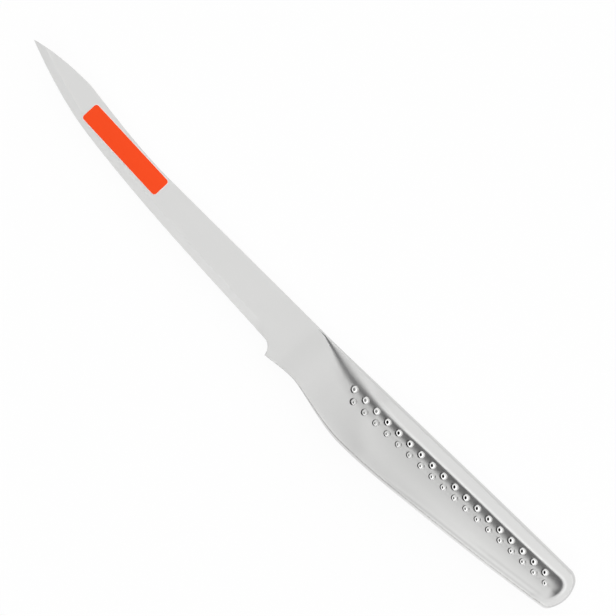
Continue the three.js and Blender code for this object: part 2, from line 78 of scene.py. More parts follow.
lens = bpy.data.cameras.new("camera")
lens.sensor_width = SENSOR_WIDTH
lens.lens = SENSOR_WIDTH * (CAMERA_HEIGHT - knife_middle) / FRAME_WIDTH
camera = bpy.data.objects.new("camera", lens)
camera.location = (*CAMERA_AIM, CAMERA_HEIGHT)
camera.rotation_euler = (0.0, 0.0, CAMERA_TURN)
bpy.context.collection.objects.link(camera)
bpy.context.scene.camera = camera
bpy.context.scene.view_settings.view_transform = "Standard"
print("Lens:", round(lens.lens, 1), "mm")

# %% [markdown]
# ## Helpers
# Every material, the world and the pip pattern are node trees. One small function adds a node, gives it its
# settings and links its inputs. Colours are written as sRGB hex, as in a paint program, and turned to the
# linear values that the renderer works with. Another function makes a mesh from points and faces.

# %% Add nodes, read colours and make meshes
def add_node(tree, kind, inputs=None, **settings):
    """A node with its settings, whose inputs are linked to sockets or set to values."""
    node = tree.nodes.new(kind)
    for name, value in settings.items():
        setattr(node, name, value)
    for key, value in (inputs or {}).items():
        if isinstance(value, bpy.types.NodeSocket):
            tree.links.new(value, node.inputs[key])
        else:
            node.inputs[key].default_value = value
    return node


def linear(hex_colour):
    """An sRGB hex colour as linear red, green, blue and alpha."""
    shares = [int(hex_colour[k:k + 2], 16) / 255 for k in (1, 3, 5)]
    return (*[s / 12.92 if s <= 0.04045 else ((s + 0.055) / 1.055) ** 2.4 for s in shares], 1.0)


def new_material(name):
    """An empty node material, its tree and its output."""
    material = bpy.data.materials.new(name)
    material.use_nodes = True
    tree = material.node_tree
    tree.nodes.clear()
    return material, tree, add_node(tree, "ShaderNodeOutputMaterial")


def mesh_object(name, points, faces, materials=()):
    """An object at the origin with a mesh of points, in metres, and faces."""
    mesh = bpy.data.meshes.new(name)
    mesh.from_pydata(np.asarray(points).tolist(), [], [[int(k) for k in face] for face in faces])
    for material in materials:
        mesh.materials.append(material)
    made = bpy.data.objects.new(name, mesh)
    bpy.context.collection.objects.link(made)
    return made


print("Satin steel in linear light:", [round(c, 3) for c in linear("#d2d2d1")])

# %% [markdown]
# ## Light
# Satin steel shows the room more than its own colour. The room here is a white tent, brightest overhead.
# Its sides are a little grey towards the spine and the butt and dark towards the tip and the belly: the dark
# sides draw the wall and the end of the scoop. A small dark opening overhead, where the camera looks in,
# gives each polished pip its dark eye. All this is painted on the world by direction, so that it stays where
# it is from every view. One soft lamp on the right adds a gentle fall of light.

# %% Set the shades of the tent
TENT_SIDES, TENT_TOP = (1.2, 1.2, 1.2, 1.0), (1.5, 1.5, 1.5, 1.0)
TOP_FROM, TOP_FULL = 42.0, 18.0
TENT_STRENGTH = 1.38
# Each shade has a direction, how closely a ray has to follow it to start and to be full, and a colour
SHADES = [
    ((0.0, 1.0, 0.0), 0.05, 0.45, linear("#e6e6e6")),
    ((1.0, 0.0, 0.0), 0.3, 0.8, linear("#d0d0d0")),
    ((-1.0, 0.0, 0.0), 0.15, 0.5, linear("#ffffff")),
    ((-1.0, 0.0, 0.0), 0.5, 0.88, linear("#3a3a3c")),
    ((-0.4, -0.917, 0.0), 0.36, 0.66, linear("#2a2a2c")),
]
OPENING = linear("#0c0c0d")
OPENING_AT = (-0.04, -0.05, 0.0)
OPENING_WIDTH, OPENING_HEIGHT = 19.0, 34.0
OPENING_EDGE = (1.15, 0.85)
# So large a size leaves a ray's height out of its distance from the opening
ANY_HEIGHT = 1000.0


def half_sine(degrees):
    return math.sin(math.radians(degrees / 2))


OPENING_SIZE = (half_sine(OPENING_WIDTH), half_sine(OPENING_HEIGHT), ANY_HEIGHT)
print("Half the opening, on a dome of radius 1:", [round(size, 3) for size in OPENING_SIZE[:2]])

# %% Paint the light tent
def share_of(tree, value, start, full):
    """A soft step from 0 to 1 as the value goes from start to full."""
    step = {"Value": value, "From Min": start, "From Max": full}
    return add_node(tree, "ShaderNodeMapRange", step, interpolation_type="SMOOTHSTEP").outputs["Result"]


def blend(tree, share, first, second):
    """A colour that goes from the first to the second."""
    colours = {"Factor": share, 6: first, 7: second}
    return add_node(tree, "ShaderNodeMix", colours, data_type="RGBA").outputs[2]


world = bpy.data.worlds.new("light_tent")
bpy.context.scene.world = world
world.use_nodes = True
sky = world.node_tree
sky.nodes.clear()
direction = add_node(sky, "ShaderNodeTexCoord").outputs["Generated"]
upward = add_node(sky, "ShaderNodeSeparateXYZ", {0: direction}).outputs["Z"]
top = share_of(sky, upward, math.cos(math.radians(TOP_FROM)), math.cos(math.radians(TOP_FULL)))
light = blend(sky, top, TENT_SIDES, TENT_TOP)
for towards, start, full, shade in SHADES:
    reach = add_node(sky, "ShaderNodeVectorMath", {0: direction, 1: towards}, operation="DOT_PRODUCT")
    light = blend(sky, share_of(sky, reach.outputs["Value"], start, full), light, shade)
around_opening = add_node(sky, "ShaderNodeMapping", {
    "Vector": direction, "Location": OPENING_AT, "Rotation": (0.0, 0.0, CAMERA_TURN), "Scale": OPENING_SIZE,
}, vector_type="TEXTURE")
from_opening = add_node(sky, "ShaderNodeVectorMath", {0: around_opening.outputs[0]}, operation="LENGTH")
light = blend(sky, share_of(sky, from_opening.outputs["Value"], *OPENING_EDGE), light, OPENING)
tent = add_node(sky, "ShaderNodeBackground", {"Color": light, "Strength": TENT_STRENGTH})
add_node(sky, "ShaderNodeOutputWorld", {"Surface": tent.outputs["Background"]})
print("Tent nodes:", len(sky.nodes))

# %% Hang one soft lamp on the right
LAMP_WATTS = 0.46
LAMP_SIZE = 0.5
LAMP_AT = (0.9, -0.1, 0.4)

softbox = bpy.data.lights.new("softbox", "AREA")
softbox.energy = LAMP_WATTS
softbox.size = LAMP_SIZE
lamp = bpy.data.objects.new("softbox", softbox)
lamp.location = LAMP_AT
lamp.rotation_euler = lamp.location.to_track_quat("Z", "Y").to_euler()
bpy.context.collection.objects.link(lamp)
print("Lamp:", round(softbox.energy, 2), "W")

# %% [markdown]
# ## Floor
# The knife lies on a plain white sheet. For the camera and for reflections the sheet glows a little, so that
# it reads as clean white, and its matte share still takes the knife's soft shadow.

# %% Lay the floor
FLOOR_SIZE = 12.0
FLOOR_GLOW = 0.93

# Matte white paper under even light: a clean ground with a soft shadow and no shine
paper, paper_tree, paper_out = new_material("white_studio_sheet")
matte = add_node(paper_tree, "ShaderNodeBsdfDiffuse", {"Color": linear("#fbfbfb")})
glow = add_node(paper_tree, "ShaderNodeEmission", {"Color": linear("#ffffff"), "Strength": 1.0})
rays = add_node(paper_tree, "ShaderNodeLightPath").outputs
seen = rays["Is Camera Ray"]
for ray in ("Is Glossy Ray", "Is Transmission Ray"):
    seen = add_node(paper_tree, "ShaderNodeMath", {0: seen, 1: rays[ray]}, operation="MAXIMUM").outputs[0]
share = add_node(paper_tree, "ShaderNodeMath", {0: seen, 1: FLOOR_GLOW}, operation="MULTIPLY")
sheet = add_node(paper_tree, "ShaderNodeMixShader", {
    0: share.outputs[0], 1: matte.outputs[0], 2: glow.outputs[0],
})
paper_tree.links.new(sheet.outputs[0], paper_out.inputs["Surface"])

half_floor = FLOOR_SIZE / 2
sides = ((-1, -1), (1, -1), (1, 1), (-1, 1))
corners = [(x * half_floor, y * half_floor, cad_low.z) for x, y in sides]
floor = mesh_object("floor", corners, [(0, 1, 2, 3)], [paper])
print("Floor at z =", cad_low.z)

# %% [markdown]
# ## The outline
# A maker would draw the knife's side profile first. Each line of it is a few knots, with a place along the
# knife, a height and a slope, and a cubic joins each knot to the next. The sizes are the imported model's, in
# millimetres: x = 0 is the heel corner, y = 0 the spine above it and z = 0 the mid plane between the sides.

# %% Set the knots of the spine, the edge and the belly
BLADE_LENGTH, HANDLE_LENGTH = 120.0, 120.2
TIP_RISE, TIP_BLUNT = 0.6, 0.2
HUMP_RISE, HUMP_FALL = 3.06, 0.7
EDGE_DEPTH, HEEL_DEPTH, NECK_RISE = 14.35, 18.1, 1.04
SPINE_BREAK, SPINE_BEND, SPINE_SLOPE = 13.0, 6.0, 0.026
BUTT_RISE, BUTT_DEPTH = 2.16, 11.97
NOTCH_RADIUS = HEEL_DEPTH - EDGE_DEPTH
TIP_X = -BLADE_LENGTH

SPINE_KNOTS = [
    (TIP_X, TIP_RISE + TIP_BLUNT / 2, 0.26),
    (TIP_X + 21.0, HUMP_RISE, 0.0),
    (TIP_X + 28.0, HUMP_RISE - HUMP_FALL, -0.122),
    (-60.0, -0.23, 0.0),
    (SPINE_BREAK - SPINE_BEND, 0.0, 0.0),
    (SPINE_BREAK + SPINE_BEND, SPINE_BEND * SPINE_SLOPE, SPINE_SLOPE),
    (HANDLE_LENGTH, BUTT_RISE, 0.008),
]
EDGE_KNOTS = [
    (TIP_X, TIP_RISE - TIP_BLUNT / 2, -0.375),
    (TIP_X + 32.0, -8.35, -0.135),
    (-NOTCH_RADIUS, -EDGE_DEPTH, -0.05),
]
BELLY_KNOTS = [
    (0.0, -HEEL_DEPTH, 0.1),
    (11.2, NECK_RISE - HEEL_DEPTH, -0.02),
    (16.0, -17.78, -0.213),
    (36.0, -21.22, 0.0),
    (66.0, -19.09, 0.104),
    (HANDLE_LENGTH, -BUTT_DEPTH, 0.167),
]
print("Knots:", len(SPINE_KNOTS), len(EDGE_KNOTS), len(BELLY_KNOTS))

# %% Join the knots
def knot_curve(knots, x):
    """Heights at x of the cubics that join the knots."""
    place, height, slope = np.array(knots).T
    k = np.clip(np.searchsorted(place, x) - 1, 0, len(knots) - 2)
    run = place[k + 1] - place[k]
    u = np.clip((x - place[k]) / run, 0.0, 1.0)
    v = 1.0 - u
    between = height[k] * v * v * (1 + 2 * u) + height[k + 1] * u * u * (3 - 2 * u)
    return between + run * u * v * (slope[k] * v - slope[k + 1] * u)


def spine_y(x):
    return knot_curve(SPINE_KNOTS, x)


def lower_y(x):
    """Cutting edge, then the round notch at the heel, then the belly of the handle."""
    notch = -HEEL_DEPTH + np.sqrt(np.maximum(0.0, NOTCH_RADIUS ** 2 - (x + NOTCH_RADIUS) ** 2))
    behind = np.where(x < 0, notch, knot_curve(BELLY_KNOTS, x))
    return np.where(x < -NOTCH_RADIUS, knot_curve(EDGE_KNOTS, x), behind)


def depth_at(x):
    return spine_y(x) - lower_y(x)


print("Depth at the heel and the belly:", depth_at(np.array([0.0, 36.0])).round(2))

# %% [markdown]
# ## The faces
# The side of the knife is a height above the mid plane for each place inside the outline. It starts as the
# blade's flat sheet, swells through the neck and then has three levels: a rim along the spine, a scoop and a
# land along the belly. Writing it as one formula keeps blade, weld and handle flush where they meet.

# %% Set the three levels along the knife
HALF_SHEET = 0.6
HALF_HANDLE = (cad_high.z - cad_low.z) / 2 / MM
SWELL_START, RIM_FULL, LAND_FULL = 4.0, 38.0, 44.0
LAND_FALL, LAND_FALL_START = 0.8, 66.0
SCOOP_DEPTH, WALL_FULL = 1.95, 60.0
SCOOP_KNOTS = [
    (SWELL_START, 0.0, 0.0),
    (14.0, 0.5, 0.05),
    (WALL_FULL, SCOOP_DEPTH, 0.0),
]


def mix(a, b, share):
    return a + (b - a) * share


def ramp(x, start, end):
    u = np.clip((x - start) / (end - start), 0.0, 1.0)
    return u * u * (3 - 2 * u)


def swell(x, full, height):
    return mix(HALF_SHEET, height, ramp(x, SWELL_START, full))


def rim_level(x):
    return swell(x, RIM_FULL, HALF_HANDLE)


def land_level(x):
    """The land along the belly, which falls away towards the butt."""
    return swell(x, LAND_FULL, HALF_HANDLE) - LAND_FALL * ramp(x, LAND_FALL_START, HANDLE_LENGTH)


def floor_level(x):
    return rim_level(x) - knot_curve(SCOOP_KNOTS, x)


print("Rim and land at x = 40:", rim_level(40.0).round(2), land_level(40.0).round(2))

# %% Draw the rim and the wall of the scoop
RIM_START_WIDTH, RIM_WIDTH, RIM_BUTT_WIDTH, RIM_TAPER = 0.3, 4.2, 3.3, 86.0
WALL_WIDTH, LEAST_WALL_WIDTH = 4.8, 0.5
WALL_START, WALL_TURN = 9.2, 26.0
NECK_STEEPEST, WALL_STEEPEST = 0.52, 0.2
RIM_KNOTS = [
    (WALL_START, RIM_START_WIDTH, 0.05),
    (17.0, 0.62, 0.1),
    (50.0, RIM_WIDTH, 0.0),
    (RIM_TAPER, RIM_WIDTH, 0.0),
    (HANDLE_LENGTH, RIM_BUTT_WIDTH, -0.05),
]
WALL_KNOTS = [
    (WALL_START, RIM_START_WIDTH + LEAST_WALL_WIDTH, 0.33),
    (WALL_TURN, 7.2, 0.15),
    (WALL_FULL, RIM_WIDTH + WALL_WIDTH, 0.0),
    (RIM_TAPER, RIM_WIDTH + WALL_WIDTH, 0.0),
    (HANDLE_LENGTH, RIM_BUTT_WIDTH + WALL_WIDTH, -0.05),
]


def rim_width(x):
    return knot_curve(RIM_KNOTS, x)


def wall_foot(x):
    return np.maximum(knot_curve(WALL_KNOTS, x), rim_width(x) + LEAST_WALL_WIDTH)


def bend(u, steepest):
    """A rise from 0 to 1 that starts and ends level and is steepest at the given share of the way."""
    return np.where(u < steepest, u * u / steepest, 1 - (1 - u) ** 2 / (1 - steepest))


def wall_share(u, x):
    """The scoop's wall, which bends over slowly near the neck and soon after its edge further back."""
    return bend(u, mix(NECK_STEEPEST, WALL_STEEPEST, ramp(x, WALL_TURN, WALL_FULL)))


print("Rim width and wall foot at x = 60:", rim_width(60.0).round(2), wall_foot(60.0).round(2))

# %% Round the scoop and the butt
BUTT_BULGE, BUTT_LEAN, BUTT_RIM = 2.7, 0.36, 2.75
SCOOP_CORNER = 3.2
BUTT_HALF = (BUTT_RISE + BUTT_DEPTH) / 2
CROWN_RADIUS = (BUTT_HALF ** 2 + BUTT_BULGE ** 2) / (2 * BUTT_BULGE)
CROWN_X, CROWN_Y = HANDLE_LENGTH - CROWN_RADIUS, (BUTT_RISE - BUTT_DEPTH) / 2 - BUTT_LEAN


def crown_gap(x, y):
    """Distance along X from a point to the arc of the butt."""
    return CROWN_X + np.sqrt(np.maximum(0.0, CROWN_RADIUS ** 2 - (y - CROWN_Y) ** 2)) - x


def rounded_least(a, b, radius):
    """The smaller of two distances, with a round corner where they meet."""
    near = np.maximum(0.0, 1 - np.abs(a - b) / radius)
    return np.minimum(a, b) - near * near * radius / 4


def scoop_inset(x, y):
    """Distance from the inner edge of the rim into the scoop."""
    from_rim = spine_y(x) - y - rim_width(x)
    return rounded_least(from_rim, crown_gap(x, y) - BUTT_RIM, SCOOP_CORNER)


print("Radius of the butt:", round(CROWN_RADIUS, 2), "mm")

# %% Write the height of the face
HALF_EDGE, BEVEL, BEVEL_RUNOUT = 0.06, 2.6, 10.0
HALF_SEAM, EDGE_ROUND = 0.4, 1.1
BELLY_LAND, FLOOR_STEEPEST = 2.0, 0.15


def outline_distance(x, y, outline):
    """Distance from points inside the outline to the nearest stretch of it."""
    nearest = np.full(np.shape(x), np.inf)
    for start, end in zip(outline[:-1], outline[1:]):
        run = end - start
        u = np.clip(((x - start[0]) * run[0] + (y - start[1]) * run[1]) / (run @ run), 0.0, 1.0)
        nearest = np.minimum(nearest, np.hypot(x - start[0] - u * run[0], y - start[1] - u * run[1]))
    return nearest


def face_height(x, y, outline):
    """Height of the outer face, rounded towards the outline."""
    depth = depth_at(x)
    below = spine_y(x) - y
    top, foot = rim_width(x), wall_foot(x)
    rise = np.clip((below - foot) / (depth - BELLY_LAND - foot), 0.0, 1.0)
    hollow = mix(floor_level(x), land_level(x), bend(rise, FLOOR_STEEPEST))
    wall = wall_share(np.clip(scoop_inset(x, y) / (foot - top), 0.0, 1.0), x)
    scooped = mix(rim_level(x), hollow, wall)
    bevel_share = np.clip((depth - below) / BEVEL, 0.0, 1.0)
    whole = mix(bevel_share, 1.0, ramp(x, -NOTCH_RADIUS - BEVEL_RUNOUT, -NOTCH_RADIUS))
    level = mix(HALF_EDGE, scooped, whole)
    lip = np.minimum(HALF_SEAM, level)
    u = np.clip(outline_distance(x, y, outline) / (EDGE_ROUND * level / HALF_HANDLE), 0.0, 1.0)
    return mix(lip, level, np.sqrt(1 - (1 - u) ** 2))


print("Edge, sheet and handle in mm:", 2 * HALF_EDGE, 2 * HALF_SHEET, round(2 * HALF_HANDLE, 2))

# %% [markdown]
# ## Lines across the knife
# A mesh shows a crisp edge only where its rows of points follow that edge. So the points of each
# cross-section are not evenly spaced: they are set at the features, as distances below the spine, and close
# together in the round edges and in the wall of the scoop. Where the blade narrows to its tip, each feature
# keeps to its share of the depth. The last section of the handle is bent until it follows the butt.

# %% Space the lines across the knife
ROUND_STEPS, RIM_STEPS, WALL_STEPS, FLOOR_STEPS, LAND_STEPS = 12, 6, 26, 26, 6
MOST_ROUND, MOST_RIM, LEAST_WALL, MOST_FOOT, MOST_BAND = 0.12, 0.3, 0.06, 0.55, 0.4
PAST_ROUND, WALL_CROWDING = 1.2, 1.5


def steps(count):
    """Even shares of a way, without its start."""
    return np.linspace(0, 1, count + 1)[1:]


def section_lines(x):
    """Distances below the spine of the lines across the knife, one row for each x."""
    depth = depth_at(x)
    spine_round = np.minimum(EDGE_ROUND * rim_level(x) / HALF_HANDLE, MOST_ROUND * depth)
    belly_round = np.minimum(EDGE_ROUND * land_level(x) / HALF_HANDLE, MOST_ROUND * depth)
    top = np.minimum(np.maximum(rim_width(x), PAST_ROUND * spine_round), MOST_RIM * depth)
    foot = np.clip(wall_foot(x), top + LEAST_WALL * depth, MOST_FOOT * depth)
    band = mix(BEVEL, BELLY_LAND, ramp(x, -2 * NOTCH_RADIUS, 0.0))
    land = depth - np.clip(band, PAST_ROUND * belly_round, MOST_BAND * depth)
    arc = 1 - np.cos(np.linspace(0.0, math.pi / 2, ROUND_STEPS + 1))
    spine_side = arc * spine_round[:, None]
    rim = mix(spine_round[:, None], top[:, None], steps(RIM_STEPS))
    wall = mix(top[:, None], foot[:, None], steps(WALL_STEPS) ** WALL_CROWDING)
    flat = mix(foot[:, None], land[:, None], steps(FLOOR_STEPS))
    shelf = mix(land[:, None], (depth - belly_round)[:, None], steps(LAND_STEPS))
    belly_side = depth[:, None] - (arc * belly_round[:, None])[:, ::-1]
    return np.hstack([spine_side, rim, wall, flat, shelf, belly_side[:, 1:]])


LINE_COUNT = section_lines(np.array([0.0])).shape[1]
print("Lines across the knife:", LINE_COUNT)

# %% Follow the butt and chain the outline
SPINE_CORNER, BELLY_CORNER = 2.0, 0.8
BUTT_PASSES = 6
SPINE_POINTS, BELLY_POINTS = 260, 400


def own_lines(x):
    """Distance below the spine of each line, at an x of its own."""
    return section_lines(x).diagonal()


def corner_drop(side, radius):
    """How far a round corner of the butt draws back a line at a distance from the corner's side."""
    short = np.clip(radius - side, 0.0, radius)
    return radius - np.sqrt(radius ** 2 - short ** 2)


def butt_places():
    """Where each line meets the butt, with the corners of the butt rounded."""
    x = np.full(LINE_COUNT, HANDLE_LENGTH)
    for _ in range(BUTT_PASSES):
        below = own_lines(x)
        at_spine, at_belly = corner_drop(below, SPINE_CORNER), corner_drop(depth_at(x) - below, BELLY_CORNER)
        x = x + crown_gap(x, spine_y(x) - below) - np.maximum(at_spine, at_belly)
    return x


BUTT_X = butt_places()


def plan_points(x_rows):
    """Places in plan of every line at every station, from an array of x with a column for each line."""
    return x_rows, spine_y(x_rows) - np.array([own_lines(row) for row in x_rows])


def whole_outline():
    """The knife's outline as a chain of points from the tip along the spine and back."""
    along_spine = np.linspace(TIP_X, BUTT_X[0], SPINE_POINTS)
    along_belly = np.linspace(BUTT_X[-1], TIP_X, BELLY_POINTS)
    spine = np.column_stack([along_spine, spine_y(along_spine)])
    butt = np.vstack(plan_points(BUTT_X[None, :])).T
    belly = np.column_stack([along_belly, lower_y(along_belly)])
    return np.vstack([spine, butt[1:-1], belly, spine[:1]])


OUTLINE = whole_outline()
print("Outline points:", len(OUTLINE))

# %% [markdown]
# ## Meshes from rows of points
# The rows become quads. A piece with two faces, such as the blade, is closed by a band round its border.
# Each finished piece has its place in its mesh and its object at the origin, and edges sharper than a set
# angle stay crisp while the rest is shaded smooth.

# %% Turn rows into faces
FRAME_X = cad_low.x / MM - TIP_X
FRAME_Y = cad_high.y / MM - HUMP_RISE


def to_frame(points):
    """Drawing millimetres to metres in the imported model's frame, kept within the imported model's box."""
    placed = (np.asarray(points) + (FRAME_X, FRAME_Y, HALF_HANDLE)) * MM
    return np.clip(placed, cad_low, cad_high)


def sheet_quads(rows, lines):
    """Quads of a grid whose rows run towards the butt and whose lines run towards the belly, facing up."""
    i, j = np.meshgrid(np.arange(rows - 1), np.arange(lines - 1), indexing="ij")
    a = (i * lines + j).ravel()
    return np.column_stack([a, a + 1, a + lines + 1, a + lines])


def border(rows, lines):
    """Numbers of the points round a grid: spine, butt end, belly, front end."""
    grid = np.arange(rows * lines).reshape(rows, lines)
    return np.concatenate([grid[:-1, 0], grid[-1, :-1], grid[:0:-1, -1], grid[0, :0:-1]])


def tube_quads(loops, around, closed=False):
    """Quads between loops of points that follow each other, and from the last to the first if closed."""
    a = np.arange(around)
    after = (a + 1) % around
    quads = []
    for k in range(loops if closed else loops - 1):
        near, far = k * around, (k + 1) % loops * around
        quads.append(np.column_stack([near + a, near + after, far + after, far + a]))
    return np.vstack(quads)


print("Frame shift in mm:", round(FRAME_X, 3), round(FRAME_Y, 3))

# %% Turn faces into pieces
SHARP_ANGLE = math.radians(11.0)


def place_piece(piece, replaces=()):
    """Shades a piece, and says what it rides on and which nodes it stands for."""
    piece.data.shade_smooth()
    piece.data.set_sharp_from_angle(angle=SHARP_ANGLE)
    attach(piece, "root")
    if replaces:
        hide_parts(*replaces)
    print(piece.name, "has", len(piece.data.polygons), "faces")


def make_piece(name, points, faces, materials, slot, replaces, finish_of=None):
    """A piece from points in drawing millimetres. With two finishes, each face has the number of one."""
    piece = mesh_object(name, to_frame(points), faces, materials)
    if finish_of is not None:
        piece.data.polygons.foreach_set("material_index", np.asarray(finish_of, dtype=np.int32))
    place_piece(piece, replaces)
    return piece


def apply_modifiers(piece):
    """Turns what the modifiers make of a piece into its own plain mesh."""
    ready = piece.evaluated_get(bpy.context.evaluated_depsgraph_get())
    piece.data = bpy.data.meshes.new_from_object(ready)
    piece.modifiers.clear()


print("Edges stay crisp above", round(math.degrees(SHARP_ANGLE), 1), "degrees")

# %% [markdown]
# ## Stainless steels
# The blade is rolled stainless sheet, finished with fine belts along its length. That leaves a soft, even
# sheen with faint lengthwise lines. Real belt lines are about 0.05 mm apart, too fine to show here, so they
# are drawn at 0.4 mm and very weak. A noise pattern that is stretched along the blade gives them, in the
# roughness more than the colour. The other steels of the knife are the same metal, finished in other ways.

# %% Make a steel
CLOUD = 18.0
GRAIN_RANGE = (0.25, 0.75)


def satin_steel(name, colours, roughness, grain_mm, bump_mm, marks=None):
    """Stainless steel with a grain of a size along X, Y and Z, tinted where a mesh attribute marks it."""
    material, tree, output = new_material(name)
    place = add_node(tree, "ShaderNodeTexCoord").outputs["Object"]
    spread = add_node(tree, "ShaderNodeMapping", {
        "Vector": place, "Scale": [1 / (size * MM) for size in grain_mm],
    })
    grain = add_node(tree, "ShaderNodeTexNoise", {
        "Vector": spread.outputs[0], "Scale": 1.0, "Detail": 3.0, "Roughness": 0.6,
    })
    cloud = add_node(tree, "ShaderNodeTexNoise", {"Vector": place, "Scale": 1 / (CLOUD * MM), "Detail": 2.0})
    tone = blend(tree, cloud.outputs[0], linear(colours[0]), linear(colours[1]))
    for mark, colour in (marks or {}).items():
        share = add_node(tree, "ShaderNodeAttribute", attribute_name=mark)
        tone = blend(tree, share.outputs["Fac"], tone, linear(colour))
    rough = add_node(tree, "ShaderNodeMapRange", {
        "Value": grain.outputs[0], "From Min": GRAIN_RANGE[0], "From Max": GRAIN_RANGE[1],
        "To Min": roughness[0], "To Max": roughness[1],
    })
    relief = add_node(tree, "ShaderNodeBump", {
        "Strength": 1.0, "Distance": bump_mm * MM, "Height": grain.outputs[0],
    })
    surface = add_node(tree, "ShaderNodeBsdfPrincipled", {
        "Base Color": tone, "Metallic": 1.0, "Roughness": rough.outputs[0], "Normal": relief.outputs[0],
    })
    tree.links.new(surface.outputs[0], output.inputs["Surface"])
    return material


# Belts along the blade leave an even sheen with faint lengthwise lines
SATIN, SATIN_ROUGHNESS = ("#d2d2d1", "#d4d4d3"), (0.4, 0.46)
# The marks blend in painted shade, painted highlights and painted light on the bevel
MARKS = {"painted_shade": "#bcbcbb", "painted_highlight": "#f2f2f1", "bevel_share": "#dfdfde"}
BELT_GRAIN, WHEEL_GRAIN, GRAIN_DEPTH = (9.0, 0.4, 0.4), (0.35, 4.0, 4.0), 0.002
BLADE_STEEL = satin_steel("belt_satin_stainless", SATIN, SATIN_ROUGHNESS, BELT_GRAIN, GRAIN_DEPTH, MARKS)

# A wheel across the bevel leaves short lines that run towards the edge
BEVEL_STEEL = satin_steel("fine_ground_stainless", SATIN, SATIN_ROUGHNESS, WHEEL_GRAIN, GRAIN_DEPTH, MARKS)
print("Blade steels:", BLADE_STEEL.name, BEVEL_STEEL.name)

# %% Make the steels of the handle
# Glass beads leave a fine, even grain without a direction, drawn at 0.5 mm so that it shows
BLASTED = {"roughness": (0.39, 0.45), "grain_mm": (0.5, 0.5, 0.5), "bump_mm": 0.003}
HANDLE_STEEL = satin_steel("bead_blasted_stainless", SATIN, marks=MARKS, **BLASTED)

# A weld that is ground flush and blasted looks the same, only a little greyer
WELD = ("#cececd", "#d1d1d0")
WELD_STEEL = satin_steel("ground_weld_stainless", WELD, **BLASTED)

# The grip polishes the upper pips until they mirror the tent with its dark opening
POLISHED = {"grain_mm": (0.6, 0.6, 0.6), "bump_mm": 0.0002}
BRIGHT, WORN, DULL = ("#cfcfce", "#d3d3d2"), ("#c2c2c1", "#c6c6c5"), ("#b9b9b8", "#bdbdbc")
PIP_STEEL = satin_steel("polished_stainless", BRIGHT, (0.03, 0.06), **POLISHED)

# The lower pips are almost as smooth, and greyer
WORN_STEEL = satin_steel("half_polished_stainless", WORN, (0.04, 0.07), **POLISHED)

# By the neck the grip rubs least, and the dark eyes of the pips blur to grey
SATIN_PIP = (0.19, 0.22)
NECK_PIP_STEEL = satin_steel("satin_polished_stainless", BRIGHT, SATIN_PIP, **POLISHED)
NECK_WORN_STEEL = satin_steel("satin_worn_stainless", DULL, SATIN_PIP, **POLISHED)
print("Steels:", [m.name for m in bpy.data.materials if m.name.endswith("stainless")])

# %% [markdown]
# ## Painted light and shade
# The edge between rim and scoop and the edge along the belly get painted highlights, and painted light
# brightens the flat of the blade a little towards its tip. The scoop gets painted shade, most of all on its
# wall. A faint crease leaves the belly's edge and runs beside it to the butt, where a second one joins it:
# each is a line of painted shade, with a painted highlight beside the first. Painted light brightens the
# bevel, most at the tip, and runs out before the heel. This could be painted by hand. Here it follows from
# the shape: mesh attributes mark each point's share of it, and the steel reads them.

# %% Find where the steel gets painted highlights
# Painted highlights on the rim's inner edge, the belly's edge and beside the crease, and on the blade's flat
HIGHLIGHT, HIGHLIGHT_WIDTH, HIGHLIGHT_ALONG, HIGHLIGHT_END = 0.53, 0.35, (26.0, 60.0), (6.0, 10.0)
BELLY_HIGHLIGHT, BELLY_ALONG, BELLY_BRIGHT = 1.0, (14.0, 30.0), (50.0, 70.0)
BLADE_BRIGHT_KNOTS = [(TIP_X, 0.16, 0.0), (-85.0, 0.12, 0.0), (-20.0, 0.08, 0.0), (4.0, 0.0, 0.0)]
CREASE_KNOTS = [(45.0, 0.7, 0.06), (75.0, 1.8, 0.0), (112.0, 1.55, -0.01)]
CREASE_WIDTH, CREASE_START, CREASE_END = 0.4, (48.0, 62.0), (110.0, 116.0)
CREASE_HIGHLIGHT, HIGHLIGHT_SHIFT = 0.12, 0.75


def soft_line(distance, width):
    """Share of a soft line of the given half width."""
    return np.exp(-(distance / width) ** 2)


def crease_at(x, above):
    """Distance from the crease, and how strong it is along the knife."""
    return above - knot_curve(CREASE_KNOTS, x), ramp(x, *CREASE_START) * (1 - ramp(x, *CREASE_END))


def painted_highlight(x, below, above, inset):
    """Share of painted highlight, from the distances below the spine, above the belly and into the scoop."""
    along_rim = HIGHLIGHT * soft_line(inset, HIGHLIGHT_WIDTH) * ramp(x, *HIGHLIGHT_ALONG)
    along_rim = along_rim * (1 - ramp(below, *HIGHLIGHT_END))
    along_belly = mix(HIGHLIGHT, 1.0, ramp(x, *BELLY_BRIGHT)) * soft_line(above, BELLY_HIGHLIGHT)
    along_belly = along_belly * ramp(x, *BELLY_ALONG)
    crease, strength = crease_at(x, above)
    beside_crease = CREASE_HIGHLIGHT * soft_line(crease - HIGHLIGHT_SHIFT, CREASE_WIDTH) * strength
    on_blade = knot_curve(BLADE_BRIGHT_KNOTS, x)
    return np.max([on_blade, along_rim, along_belly, beside_crease], axis=0)


# The painted highlight of the rim's edge, at three distances from it
edge_highlight = soft_line(np.array([0.0, 0.35, 0.7]), HIGHLIGHT_WIDTH)
print("Burnish of the rim's edge at 0, 0.35 and 0.7 mm:", (HIGHLIGHT * edge_highlight).round(2))

